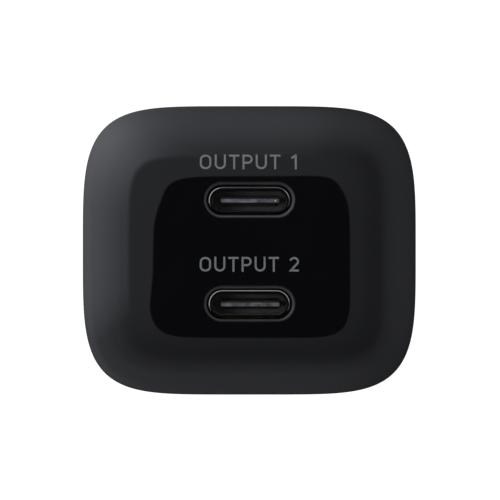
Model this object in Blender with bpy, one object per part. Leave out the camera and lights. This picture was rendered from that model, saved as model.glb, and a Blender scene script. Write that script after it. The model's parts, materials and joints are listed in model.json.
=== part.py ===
"""Two-port wall charger with folding blades.

Frame: origin on the flat wall-side face, midway across and midway up the body.
+Y points into the wall, the ports face -Y, +Z is up. Blades are modelled deployed.
"""

import math

import bmesh
import bpy
from mathutils import Matrix, Vector

MM = 0.001

# ---------------------------------------------------------------- body outline
HALF_W = 19.5  # half width of the widest section
HALF_H = 16.9  # half height of the widest section
EXP_W = 5.1  # outline exponents of the soft rectangle
EXP_H = 4.1
WIDE_Y = -16.0  # plane of the widest section
NOSE = 26.0  # widest section to the crown of the port face
EXP_NOSE = 2.5
TAIL = 16.0  # widest section to the wall-side face
TAIL_END = 0.90  # scale of the flat wall-side face
WALL = 2.0  # housing wall
SEAM_Y = -4.0  # parting line
SEAM_GAP = 0.3
SEGS = 56

# ---------------------------------------------------------------- ports
PORT_Z = 5.9  # each receptacle's height above or below the middle
SEAT_DROP = 0.04  # the receptacles sit this much low in their holes
CUT_W, CUT_H = 9.5, 3.4  # hole through the port face
CUT_LEAD = 0.42  # rounded lead-in round the hole
SHELL_W, SHELL_H, SHELL_T = 8.94, 3.16, 0.30  # receptacle shell, outside
SHELL_FRONT = -41.35
SHELL_BACK = -34.0
TONGUE_W, TONGUE_T = 6.69, 0.70
TONGUE_TIP = -39.55
TONGUE_ROOT = -35.6

# ---------------------------------------------------------------- plug blades
BLADE_X = 6.35  # half the 12.7 mm blade spacing
BLADE_T = 1.5
BLADE_W = 6.35
BLADE_OUT = 17.3  # length beyond the wall-side face
PIVOT_Y = -4.2
PIVOT_Z = 9.15
HUB_R = 2.0  # cross shaft
KEY = 2.7  # square key in each blade's heel
SLOT_W = 2.1
SLOT_TOP = PIVOT_Z + BLADE_W / 2 + 0.28
SLOT_LOW = PIVOT_Z - (BLADE_OUT - PIVOT_Y) - 0.4
PLATE = 2.0  # rear cover plate

# ---------------------------------------------------------------- boards
PORT_PCB_Y = (-33.2, -32.2)
MAIN_PCB_Z = (10.2, 11.4)
MAIN_PCB_Y = (-31.9, -10.2)

for old in list(bpy.data.objects):
    bpy.data.objects.remove(old, do_unlink=True)

ROOT = bpy.data.objects.new("charger_frame", None)
bpy.context.scene.collection.objects.link(ROOT)


# ---------------------------------------------------------------- materials
def material(name, rgb, roughness, metallic=0.0):
    m = bpy.data.materials.new(name)
    m.use_nodes = True
    bsdf = m.node_tree.nodes["Principled BSDF"]
    bsdf.inputs["Base Color"].default_value = (*rgb, 1.0)
    bsdf.inputs["Roughness"].default_value = roughness
    bsdf.inputs["Metallic"].default_value = metallic
    m.diffuse_color = (*rgb, 1.0)
    return m


GLOSS_BLACK = material("gloss_black", (0.012, 0.012, 0.013), 0.08)
SATIN_BLACK = material("satin_black", (0.018, 0.018, 0.019), 0.38)
INNER_BLACK = material("inner_black", (0.03, 0.03, 0.032), 0.5)
NICKEL = material("nickel", (0.72, 0.70, 0.66), 0.22, 1.0)
STEEL = material("steel", (0.55, 0.55, 0.56), 0.28, 1.0)
BRONZE = material("bronze", (0.72, 0.50, 0.30), 0.3, 1.0)
CARRIER = material("carrier_plastic", (0.02, 0.02, 0.022), 0.45)
PCB_GREEN = material("board_green", (0.02, 0.12, 0.05), 0.4)
FERRITE = material("ferrite", (0.06, 0.06, 0.065), 0.7)
BOBBIN = material("bobbin_plastic", (0.08, 0.07, 0.06), 0.5)
TAPE = material("winding_tape", (0.80, 0.62, 0.10), 0.35)
COPPER = material("copper", (0.80, 0.36, 0.20), 0.25, 1.0)
CAN_SLEEVE = material("capacitor_sleeve", (0.05, 0.06, 0.10), 0.35)
CAN_METAL = material("capacitor_can", (0.75, 0.76, 0.78), 0.25, 1.0)
BOX_YELLOW = material("film_capacitor", (0.75, 0.60, 0.12), 0.5)
DISC_BLUE = material("disc_blue", (0.05, 0.20, 0.50), 0.45)
DISC_GREEN = material("disc_green", (0.05, 0.22, 0.12), 0.5)
CHIP = material("chip_black", (0.025, 0.025, 0.027), 0.45)
FUSE_GREY = material("fuse_body", (0.10, 0.10, 0.11), 0.4)
FILM = material("insulating_film", (0.55, 0.52, 0.44), 0.4)
PAD = material("thermal_pad", (0.45, 0.55, 0.65), 0.7)


# ---------------------------------------------------------------- mesh helpers
def finish(name, bm, mat, smooth=35.0):
    bmesh.ops.remove_doubles(bm, verts=bm.verts, dist=1e-7)
    bmesh.ops.recalc_face_normals(bm, faces=bm.faces)
    mesh = bpy.data.meshes.new(name)
    bm.to_mesh(mesh)
    bm.free()
    obj = bpy.data.objects.new(name, mesh)
    bpy.context.scene.collection.objects.link(obj)
    obj.parent = ROOT
    mesh.materials.append(mat)
    if smooth:
        mesh.shade_smooth()
        mesh.set_sharp_from_angle(angle=math.radians(smooth))
    return obj


def hide(obj):
    obj.hide_render = True
    obj.display_type = "WIRE"
    return obj


def loft(name, rings, mat, smooth=35.0):
    """Closed solid through rings of equal length, with a flat cap at each end. Points are in mm."""
    bm = bmesh.new()
    made = [[bm.verts.new(Vector(p) * MM) for p in ring] for ring in rings]
    count = len(rings[0])
    for low, high in zip(made, made[1:]):
        for i in range(count):
            j = (i + 1) % count
            bm.faces.new((low[i], low[j], high[j], high[i]))
    bm.faces.new(list(reversed(made[0])))
    bm.faces.new(made[-1])
    return finish(name, bm, mat, smooth)


def prism(name, outline, x0, x1, mat, smooth=35.0):
    """Outline of (y, z) points extruded along X."""
    return loft(name, [[(x, y, z) for y, z in outline] for x in (x0, x1)], mat, smooth)


def box(name, x, y, z, mat, bevel=0.0, segments=1):
    bm = bmesh.new()
    bmesh.ops.create_cube(bm, size=1.0)
    size = Vector((x[1] - x[0], y[1] - y[0], z[1] - z[0])) * MM
    mid = Vector((x[0] + x[1], y[0] + y[1], z[0] + z[1])) * MM / 2
    bmesh.ops.transform(bm, matrix=Matrix.Translation(mid) @ Matrix.Diagonal((*size, 1.0)), verts=bm.verts)
    if bevel:
        bmesh.ops.bevel(
            bm, geom=list(bm.edges), offset=bevel * MM, segments=segments, profile=0.5, affect="EDGES"
        )
    return finish(name, bm, mat)


AXES = {
    "X": Matrix.Rotation(math.radians(90), 4, "Y"),
    "Y": Matrix.Rotation(math.radians(-90), 4, "X"),
    "Z": Matrix.Identity(4),
}


def turned(name, profile, at, axis, mat, segs=24, smooth=35.0):
    """Solid of revolution: profile of (radius, height) from the bottom to the top, on the axis at both ends."""
    bm = bmesh.new()
    place = Matrix.Translation(Vector(at) * MM) @ AXES[axis]
    rows = []
    for radius, height in profile:
        if radius < 1e-6:
            rows.append([bm.verts.new(place @ (Vector((0, 0, height)) * MM))])
            continue
        rows.append(
            [
                bm.verts.new(
                    place
                    @ (
                        Vector(
                            (
                                radius * math.cos(math.tau * (i + 0.5) / segs),
                                radius * math.sin(math.tau * (i + 0.5) / segs),
                                height,
                            )
                        )
                        * MM
                    )
                )
                for i in range(segs)
            ]
        )
    for low, high in zip(rows, rows[1:]):
        for i in range(segs):
            j = (i + 1) % segs
            if len(low) == 1:
                bm.faces.new((low[0], high[j], high[i]))
            elif len(high) == 1:
                bm.faces.new((low[i], low[j], high[0]))
            else:
                bm.faces.new((low[i], low[j], high[j], high[i]))
    return finish(name, bm, mat, smooth)


def swept_ring(name, section, at, axis, mat, segs=24):
    """Closed section of (radius, height) points carried round the axis."""
    bm = bmesh.new()
    place = Matrix.Translation(Vector(at) * MM) @ AXES[axis]
    rows = []
    for i in range(segs):
        a = math.tau * i / segs
        rows.append([bm.verts.new(place @ (Vector((r * math.cos(a), r * math.sin(a), h)) * MM)) for r, h in section])
    count = len(section)
    for k in range(segs):
        one, two = rows[k], rows[(k + 1) % segs]
        for i in range(count):
            j = (i + 1) % count
            bm.faces.new((one[i], one[j], two[j], two[i]))
    return finish(name, bm, mat)


def ring_solid(name, inner, outer, z0, z1, at, axis, mat, segs=24, bevel=0.0):
    """Ring with bevelled rims."""
    b = bevel
    section = [
        (inner + b, z0),
        (outer - b, z0),
        (outer, z0 + b),
        (outer, z1 - b),
        (outer - b, z1),
        (inner + b, z1),
        (inner, z1 - b),
        (inner, z0 + b),
    ]
    if b == 0:
        section = [(inner, z0), (outer, z0), (outer, z1), (inner, z1)]
    return swept_ring(name, section, at, axis, mat, segs)


def boolean(obj, other, operation):
    mod = obj.modifiers.new(other.name, "BOOLEAN")
    mod.operation = operation
    mod.object = other
    mod.solver = "EXACT"
    hide(other)
    return obj


def cut(obj, *others):
    for o in others:
        boolean(obj, o, "DIFFERENCE")
    return obj


def join(obj, *others):
    for o in others:
        boolean(obj, o, "UNION")
    return obj


# ---------------------------------------------------------------- outlines
def soft_rect(a, b, y, segs=SEGS):
    """Superellipse section of half width a and half height b. The half step leaves a flat facet on each side."""
    ring = []
    for i in range(segs):
        t = math.tau * (i + 0.5) / segs
        c, s = math.cos(t), math.sin(t)
        ring.append(
            (
                a * math.copysign(abs(c) ** (2.0 / EXP_W), c),
                y,
                b * math.copysign(abs(s) ** (2.0 / EXP_H), s),
            )
        )
    return ring


def nose_ring(depth, inset=0.0):
    """Section of the nose at a share of its depth, from 0 at the widest plane to 1 at the crown."""
    left = 1.0 - depth**EXP_NOSE
    return soft_rect(
        (HALF_W - inset) * left ** (1.0 / EXP_W),
        (HALF_H - inset) * left ** (1.0 / EXP_H),
        WIDE_Y - (NOSE - inset) * depth,
    )


def nose_section(y, inset):
    """The same surface's section at a stated Y."""
    return nose_ring(max(0.0, (WIDE_Y - y) / (NOSE - inset)), inset)


def tail_scale(y):
    u = min(1.0, max(0.0, (y - WIDE_Y) / TAIL))
    return TAIL_END + (1.0 - TAIL_END) * (1.0 - u**4) ** (1.0 / 2.2)


def tail_ring(y):
    s = tail_scale(y)
    return soft_rect(HALF_W * s, HALF_H * s, y)


def stadium(w, h, y, z, per_end=8, x=0.0):
    """Slot outline in XZ, round at both ends."""
    r = h / 2.0
    half = w / 2.0 - r
    pts = []
    for side, start in ((1, -90.0), (-1, 90.0)):
        for i in range(per_end + 1):
            a = math.radians(start + 180.0 * i / per_end)
            pts.append((x + side * half + r * math.cos(a), y, z + r * math.sin(a)))
    return pts


# ---------------------------------------------------------------- front housing
OUTER_STEPS = (0.998, 0.992, 0.98, 0.96, 0.93, 0.885, 0.83, 0.76, 0.68, 0.58, 0.45, 0.3, 0.15, 0.0)
INNER_STEPS = (0.0, 0.3, 0.55, 0.72, 0.84, 0.92, 0.97, 0.993)
rings = [nose_ring(u) for u in OUTER_STEPS]
seam_front = SEAM_Y - SEAM_GAP
rings += [tail_ring(y) for y in (-12.0, -8.0, seam_front)]
inner_a, inner_b = HALF_W - WALL, HALF_H - WALL
rings.append(soft_rect(inner_a, inner_b, seam_front))
rings += [nose_ring(u, WALL) for u in INNER_STEPS]
front_housing = loft("front_housing", rings, GLOSS_BLACK, 40)


def port_cutter(name, z):
    r = []
    for y, grow in ((-38.5, 0.0), (-41.42, 0.0), (-41.62, 0.12), (-41.78, 0.28), (-41.87, CUT_LEAD), (-43.5, CUT_LEAD + 0.9)):
        r.append(stadium(CUT_W + 2 * grow, CUT_H + 2 * grow, y, z))
    return loft(name, r, GLOSS_BLACK, 0)


cut(front_housing, port_cutter("cut_port_upper", PORT_Z + SEAT_DROP), port_cutter("cut_port_lower", -PORT_Z + SEAT_DROP))

# Two stops on each side wall, which hold the port board square to the ports.
for label, x in (("left", -1), ("right", 1)):
    lo, hi = sorted((x * 14.2, x * 17.0))
    rib = box(f"stop_{label}", (lo, hi), (-35.2, -33.55), (-3.0, 3.0), GLOSS_BLACK)
    join(front_housing, rib)

# ---------------------------------------------------------------- rear cover
rings = [tail_ring(y) for y in (0.0, -0.24, -0.8, -1.92, -3.0, SEAM_Y)]
skirt_out = (inner_a - 0.3, inner_b - 0.3)
skirt_in = (skirt_out[0] - 1.2, skirt_out[1] - 1.2)
rings += [
    soft_rect(*skirt_out, SEAM_Y),
    soft_rect(*skirt_out, -8.0),
    soft_rect(*skirt_in, -8.0),
    soft_rect(*skirt_in, -PLATE),
]
rear_cover = loft("rear_cover", rings, SATIN_BLACK, 40)

WELL_BOTTOM = -7.7
for label, x in (("left", -1), ("right", 1)):
    lo, hi = sorted((x * (BLADE_X - SLOT_W / 2 - 1.0), x * (BLADE_X + SLOT_W / 2 + 1.0)))
    well = box(
        f"well_{label}", (lo, hi), (WELL_BOTTOM - 0.9, -PLATE + 0.5), (SLOT_LOW - 1.0, SLOT_TOP + 1.0), SATIN_BLACK
    )
    join(rear_cover, well)
SCREW_X, SCREW_Z = 2.2, PIVOT_Z - 6.6
for label, x in (("left", -1), ("right", 1)):
    boss = turned(
        f"boss_{label}", [(0, -2.7), (1.75, -2.7), (1.75, 0.4), (0, 0.4)], (x * SCREW_X, -PLATE, SCREW_Z), "Y", SATIN_BLACK, 16
    )
    join(rear_cover, boss)
for label, x in (("left", -1), ("right", 1)):
    mid = x * BLADE_X
    slot = box(
        f"cut_slot_{label}", (mid - SLOT_W / 2, mid + SLOT_W / 2), (WELL_BOTTOM, 1.0), (SLOT_LOW, SLOT_TOP), SATIN_BLACK
    )
    mouth = box(
        f"cut_heel_{label}",
        (mid - SLOT_W / 2, mid + SLOT_W / 2),
        (-9.6, WELL_BOTTOM + 0.4),
        (PIVOT_Z - 4.6, SLOT_TOP),
        SATIN_BLACK,
    )
    hole = turned(
        f"cut_screw_{label}", [(0, -3.2), (1.05, -3.2), (1.05, -0.4), (0, -0.4)], (x * SCREW_X, -PLATE, SCREW_Z), "Y", SATIN_BLACK, 16
    )
    cut(rear_cover, slot, mouth, hole)

# The shaft drops into U-shaped seats in the slot walls, open towards the inside.
seat = []
for i in range(13):
    a = math.radians(180.0 * i / 12)
    seat.append((PIVOT_Y + 2.1 * math.sin(a), PIVOT_Z + 2.1 * math.cos(a)))
seat += [(-10.0, PIVOT_Z - 2.1), (-10.0, PIVOT_Z + 2.1)]
cut(rear_cover, prism("cut_shaft_seat", seat, -9.6, 9.6, SATIN_BLACK, 0))

# Shallow finger dish over the folded blade tips.
dish = []
for i in range(9):
    a = math.radians(90.0 * i / 8)
    dish.append((11.0 * math.cos(a), -1.15 * math.sin(a)))
bm = bmesh.new()
rows = []
DISH_Z = SLOT_LOW + 4.6
for radius, depth in [(11.0, 0.6)] + dish:
    if radius < 1e-6:
        rows.append([bm.verts.new(Vector((0, depth, DISH_Z)) * MM)])
        continue
    rows.append(
        [
            bm.verts.new(
                Vector((radius * math.cos(math.tau * i / 40), depth, DISH_Z + radius * 0.40 * math.sin(math.tau * i / 40)))
                * MM
            )
            for i in range(40)
        ]
    )
for low, high in zip(rows, rows[1:]):
    for i in range(40):
        j = (i + 1) % 40
        if len(high) == 1:
            bm.faces.new((low[i], low[j], high[0]))
        else:
            bm.faces.new((low[i], low[j], high[j], high[i]))
bm.faces.new(list(reversed(rows[0])))
cut(rear_cover, finish("cut_finger_dish", bm, SATIN_BLACK, 0))


# ---------------------------------------------------------------- plug blades
def blade_outline():
    """(y, z) outline: round heel on the pivot, parallel sides, tapered tip."""
    half = BLADE_W / 2
    pts = []
    for i in range(13):
        a = math.radians(90.0 + 180.0 * i / 12)
        pts.append((PIVOT_Y + half * math.cos(a), PIVOT_Z + half * math.sin(a)))
    tip = BLADE_OUT
    pts += [
        (tip - 2.3, PIVOT_Z - half),
        (tip - 0.7, PIVOT_Z - half + 0.75),
        (tip - 0.15, PIVOT_Z - half + 1.35),
        (tip, PIVOT_Z - half + 2.0),
        (tip, PIVOT_Z + half - 2.0),
        (tip - 0.15, PIVOT_Z + half - 1.35),
        (tip - 0.7, PIVOT_Z + half - 0.75),
        (tip - 2.3, PIVOT_Z + half),
    ]
    return pts


def blade(name, x):
    """Stamped blade with coined edges, a tip hole and a square key hole."""
    pts = blade_outline()
    cy = sum(p[0] for p in pts) / len(pts)

    def inset(d):
        out = []
        n = len(pts)
        for i in range(n):
            a, b, c = pts[i - 1], pts[i], pts[(i + 1) % n]
            t1 = Vector((b[0] - a[0], b[1] - a[1])).normalized()
            t2 = Vector((c[0] - b[0], c[1] - b[1])).normalized()
            n1, n2 = Vector((-t1.y, t1.x)), Vector((-t2.y, t2.x))
            m = n1 + n2
            m = m / max(1e-9, m.dot(n1)) if m.length > 1e-6 else n1
            out.append((b[0] + d * m.x, b[1] + d * m.y))
        return out

    ins = inset(0.22)
    # The outline must shrink; its turning sense decides the sign.
    if max(p[0] for p in ins) > max(p[0] for p in pts):
        ins = inset(-0.22)
    h = BLADE_T / 2
    rings_ = [
        [(x - h, y, z) for y, z in ins],
        [(x - h + 0.22, y, z) for y, z in pts],
        [(x + h - 0.22, y, z) for y, z in pts],
        [(x + h, y, z) for y, z in ins],
    ]
    # Coined tip: the last 2.3 mm thins towards the end.
    for k, ring in enumerate(rings_):
        for i, (px, py, pz) in enumerate(ring):
            t = max(0.0, (py - (BLADE_OUT - 2.35)) / 2.35)
            rings_[k][i] = (x + (px - x) * (1.0 - 0.45 * t), py, pz)
    b = loft(name, rings_, NICKEL, 30)
    hole = turned(f"cut_tip_hole_{name}", [(0, -2), (1.6, -2), (1.6, 2), (0, 2)], (x, 11.7, PIVOT_Z), "X", NICKEL, 20, 0)
    k = KEY / 2 + 0.06
    key = box(f"cut_key_{name}", (x - 2, x + 2), (PIVOT_Y - k, PIVOT_Y + k), (PIVOT_Z - k, PIVOT_Z + k), NICKEL)
    return cut(b, hole, key)


blade("blade_left", -BLADE_X)
blade("blade_right", BLADE_X)


def shaft_section(x, kind):
    """24 points round the pivot: a round journal, a square key or a detent cam with four flats."""
    pts = []
    for i in range(24):
        a = math.tau * (i + 0.5) / 24
        c, s = math.cos(a), math.sin(a)
        if kind == "round":
            r = HUB_R
        elif kind == "key":
            r = min(KEY / 2 / max(abs(c), abs(s)), 1.86)
        else:
            r = min(1.78 / max(abs(c), abs(s)), 2.1)
        pts.append((x, PIVOT_Y + r * c, PIVOT_Z + r * s))
    return pts


spans = [
    (-9.2, "round"),
    (-BLADE_X - 0.9, "round"),
    (-BLADE_X - 0.85, "key"),
    (-BLADE_X + 0.85, "key"),
    (-BLADE_X + 0.9, "round"),
    (-1.95, "round"),
    (-1.9, "cam"),
    (1.9, "cam"),
    (1.95, "round"),
    (BLADE_X - 0.9, "round"),
    (BLADE_X - 0.85, "key"),
    (BLADE_X + 0.85, "key"),
    (BLADE_X + 0.9, "round"),
    (9.2, "round"),
]
loft("blade_carrier", [shaft_section(x, k) for x, k in spans], CARRIER, 30)

# ---------------------------------------------------------------- bearing cap, its screws and the springs
cap = box("bearing_cap", (-3.9, 3.9), (-8.9, -4.7), (PIVOT_Z - 3.6, PIVOT_Z + 3.0), CARRIER, 0.3)
foot = box("cap_foot", (-3.9, 3.9), (-6.3, -5.0), (PIVOT_Z - 9.0, PIVOT_Z - 3.2), CARRIER, 0.3)
join(cap, foot)
saddle = turned("cut_saddle", [(0, -6), (2.15, -6), (2.15, 6), (0, 6)], (0, PIVOT_Y, PIVOT_Z), "X", CARRIER, 24, 0)
pocket = box("cut_spring_pocket", (-2.3, 2.3), (-7.5, -3.5), (PIVOT_Z - 3.0, PIVOT_Z + 2.5), CARRIER)
cut(cap, saddle, pocket)
for label, x in (("left", -1), ("right", 1)):
    cut(
        cap,
        turned(f"cut_cap_hole_{label}", [(0, -3), (1.1, -3), (1.1, 3), (0, 3)], (x * SCREW_X, -5.6, SCREW_Z), "Y", CARRIER, 16, 0),
    )
    screw = turned(
        f"cap_screw_{label}",
        [(0, -7.75), (0.9, -7.75), (1.35, -7.5), (1.55, -7.1), (1.55, -6.6), (0.8, -6.6), (0.8, -3.1), (0.3, -2.7), (0, -2.7)],
        (x * SCREW_X, 0, SCREW_Z),
        "Y",
        STEEL,
        16,
        30,
    )
    for turn, (wx, wz) in enumerate(((0.22, 0.9), (0.9, 0.22))):
        cut(
            screw,
            box(
                f"cut_drive_{label}_{turn}",
                (x * SCREW_X - wx, x * SCREW_X + wx),
                (-8.2, -7.2),
                (SCREW_Z - wz, SCREW_Z + wz),
                STEEL,
            ),
        )


def strip(name, path, width, thick, x, mat):
    """Bent sheet strip: path of (y, z) points, of one thickness, centred on x."""
    left, right = [], []
    n = len(path)
    for i, (y, z) in enumerate(path):
        a = path[max(0, i - 1)]
        c = path[min(n - 1, i + 1)]
        t1 = Vector((y - a[0], z - a[1]))
        t2 = Vector((c[0] - y, c[1] - z))
        t1 = t1.normalized() if t1.length > 1e-9 else t2.normalized()
        t2 = t2.normalized() if t2.length > 1e-9 else t1
        n1, n2 = Vector((-t1.y, t1.x)), Vector((-t2.y, t2.x))
        m = n1 + n2
        m = m / m.dot(n1)
        left.append((y + m.x * thick / 2, z + m.y * thick / 2))
        right.append((y - m.x * thick / 2, z - m.y * thick / 2))
    return prism(name, left + right[::-1], x - width / 2, x + width / 2, mat, 50)


# Detent leaf: bowed towards the cam, 0.1 mm clear of the cam's sweep.
bow = []
for i in range(9):
    t = -1 + 2 * i / 8
    bow.append((-7.1 + 0.55 * (1 - t * t), PIVOT_Z - 0.25 + 2.4 * t))
strip("detent_spring", bow, 3.6, 0.25, 0.0, STEEL)
for label, x in (("left", -BLADE_X), ("right", BLADE_X)):
    path = [
        (-7.95, PIVOT_Z - 3.9),
        (-7.75, PIVOT_Z - 3.2),
        (-7.68, PIVOT_Z - 1.6),
        (-7.66, PIVOT_Z - 0.4),
        (-7.9, PIVOT_Z + 0.25),
        (-8.3, 9.7),
        (-12.6, 9.7),
    ]
    strip(f"contact_spring_{label}", path, 1.6, 0.35, x, BRONZE)


# ---------------------------------------------------------------- boards
def rounded_board(name, a, b, radius, span, plane, mat, offset=0.0):
    pts = []
    for cx, cy, start in ((a - radius, b - radius, 0), (-(a - radius), b - radius, 90), (-(a - radius), -(b - radius), 180), (a - radius, -(b - radius), 270)):
        for i in range(5):
            t = math.radians(start + 90 * i / 4)
            pts.append((cx + radius * math.cos(t), cy + radius * math.sin(t) + offset))
    if plane == "XZ":
        rings_ = [[(x, y, z) for x, z in pts] for y in span]
    else:
        rings_ = [[(x, y, z) for x, y in pts] for z in span]
    return loft(name, rings_, mat, 30)


rounded_board("port_pcb", 12.6, 10.4, 3.0, PORT_PCB_Y, "XZ", PCB_GREEN)
rounded_board(
    "main_pcb",
    12.2,
    (MAIN_PCB_Y[1] - MAIN_PCB_Y[0]) / 2,
    1.2,
    MAIN_PCB_Z,
    "XY",
    PCB_GREEN,
    (MAIN_PCB_Y[0] + MAIN_PCB_Y[1]) / 2,
)

# ---------------------------------------------------------------- receptacles
for label, z in (("upper", PORT_Z), ("lower", -PORT_Z)):
    t = SHELL_T
    lead = 0.12
    rings_ = [
        stadium(SHELL_W - 2 * t, SHELL_H - 2 * t, SHELL_BACK, z),
        stadium(SHELL_W - 2 * t, SHELL_H - 2 * t, SHELL_FRONT + lead, z),
        stadium(SHELL_W - 2 * t + 2 * lead, SHELL_H - 2 * t + 2 * lead, SHELL_FRONT, z),
        stadium(SHELL_W - 0.1, SHELL_H - 0.1, SHELL_FRONT, z),
        stadium(SHELL_W, SHELL_H, SHELL_FRONT + 0.08, z),
        stadium(SHELL_W, SHELL_H, SHELL_BACK, z),
    ]
    bm = bmesh.new()
    made = [[bm.verts.new(Vector(p) * MM) for p in r] for r in rings_]
    count = len(made[0])
    for k in range(len(made)):
        low, high = made[k], made[(k + 1) % len(made)]
        for i in range(count):
            j = (i + 1) % count
            bm.faces.new((low[i], low[j], high[j], high[i]))
    shell = finish(f"{label}_receptacle_shell", bm, STEEL, 30)
    for side, x in (("l", -1), ("r", 1)):
        lo, hi = sorted((x * (SHELL_W / 2 - 0.28), x * (SHELL_W / 2 + 0.02)))
        for k, zz in enumerate((-0.75, 0.75)):
            join(
                shell,
                box(f"leg_{label}_{side}{k}", (lo, hi), (SHELL_BACK - 0.6, PORT_PCB_Y[0] - 0.3 + 0.0), (z + zz - 0.4, z + zz + 0.4), STEEL),
            )
    root = loft(
        f"{label}_receptacle_tongue",
        [stadium(8.1, 2.3, -33.7, z), stadium(8.1, 2.3, TONGUE_ROOT, z)],
        INNER_BLACK,
        30,
    )
    w, h = TONGUE_W / 2, TONGUE_T / 2
    tip = []
    for y, dw, dh in ((-34.6, 0, 0), (TONGUE_TIP + 0.35, 0, 0), (TONGUE_TIP, 0.28, 0.11)):
        ww, hh, r = w - dw, h - dh, 0.12
        tip.append(
            [
                (ww, y, z - hh + r), (ww, y, z + hh - r), (ww - r, y, z + hh), (-ww + r, y, z + hh),
                (-ww, y, z + hh - r), (-ww, y, z - hh + r), (-ww + r, y, z - hh), (ww - r, y, z - hh),
            ]
        )
    join(root, loft(f"tongue_{label}", tip, INNER_BLACK, 30))
    step = box(f"step_{label}", (-3.0, 3.0), (TONGUE_ROOT - 0.75, TONGUE_ROOT + 0.5), (z - 0.62, z + 0.62), INNER_BLACK, 0.1)
    join(root, step)

# ---------------------------------------------------------------- insulating sleeve inside the housing
SLEEVE_Y = (-31.6, -26.5, -21.5, WIDE_Y, -9.2)


def sleeve_ring(y, inset):
    if y >= WIDE_Y:
        return soft_rect(HALF_W - inset, HALF_H - inset, y, SEGS)
    return nose_section(y, inset)


outer_rings = [sleeve_ring(y, WALL + 0.3) for y in SLEEVE_Y]
inner_rings = [sleeve_ring(y, WALL + 0.7) for y in reversed(SLEEVE_Y)]
bm = bmesh.new()
made = [[bm.verts.new(Vector(p) * MM) for p in r] for r in outer_rings + inner_rings]
for k in range(len(made)):
    low, high = made[k], made[(k + 1) % len(made)]
    for i in range(SEGS):
        j = (i + 1) % SEGS
        bm.faces.new((low[i], low[j], high[j], high[i]))
finish("insulating_sleeve", bm, FILM, 40)

# ---------------------------------------------------------------- transformer
TX, TY, TZ = -4.6, -25.4, 3.0  # centre
CORE_X, CORE_Y, CORE_Z = 7.6, 5.0, 6.8
for label, sign in (("upper", 1), ("lower", -1)):
    a, b = sorted((TZ + sign * CORE_Z, TZ + sign * (CORE_Z - 2.6)))
    core = box(f"transformer_core_{label}", (TX - CORE_X, TX + CORE_X), (TY - CORE_Y, TY + CORE_Y), (a, b), FERRITE, 0.25)
    a, b = sorted((TZ + sign * 0.15, TZ + sign * (CORE_Z - 2.0)))
    for k, side in enumerate((-1, 1)):
        lo, hi = sorted((TX + side * CORE_X, TX + side * (CORE_X - 1.8)))
        # legs stop 0.02 mm short of the plate's faces so that no two faces coincide
        join(core, box(f"leg_{label}_{k}", (lo + 0.02, hi - 0.02), (TY - CORE_Y + 0.02, TY + CORE_Y - 0.02), (a, b), FERRITE))
    join(
        core,
        turned(f"post_{label}", [(0, a), (2.5, a), (2.5, b), (0, b)], (TX, TY, 0), "Z", FERRITE, 20),
    )
TOP, LOW = TZ + CORE_Z - 2.9, TZ - CORE_Z + 2.9
swept_ring(
    "transformer_bobbin",
    [
        (2.8, LOW),
        (4.9, LOW),
        (4.9, LOW + 0.5),
        (3.3, LOW + 0.5),
        (3.3, TOP - 0.5),
        (4.9, TOP - 0.5),
        (4.9, TOP),
        (2.8, TOP),
    ],
    (TX, TY, 0),
    "Z",
    BOBBIN,
    24,
)
ring_solid("transformer_winding", 3.6, 4.75, LOW + 0.8, TOP - 0.8, (TX, TY, 0), "Z", TAPE, 24, 0.15)


# ---------------------------------------------------------------- capacitors and other parts on the main board
def can(name, r, x, y, z_top, length, mat, segs=20):
    """Electrolytic can hanging below the board, with its crimp groove near the leads."""
    g = 0.28
    turned(
        name,
        [
            (0, z_top - length),
            (r - 0.5, z_top - length),
            (r, z_top - length + 0.5),
            (r, z_top - 2.3),
            (r - g, z_top - 1.9),
            (r - g, z_top - 1.6),
            (r, z_top - 1.2),
            (r, z_top - 0.25),
            (r - 0.25, z_top),
            (0, z_top),
        ],
        (x, y, 0),
        "Z",
        mat,
        segs,
    )


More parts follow.
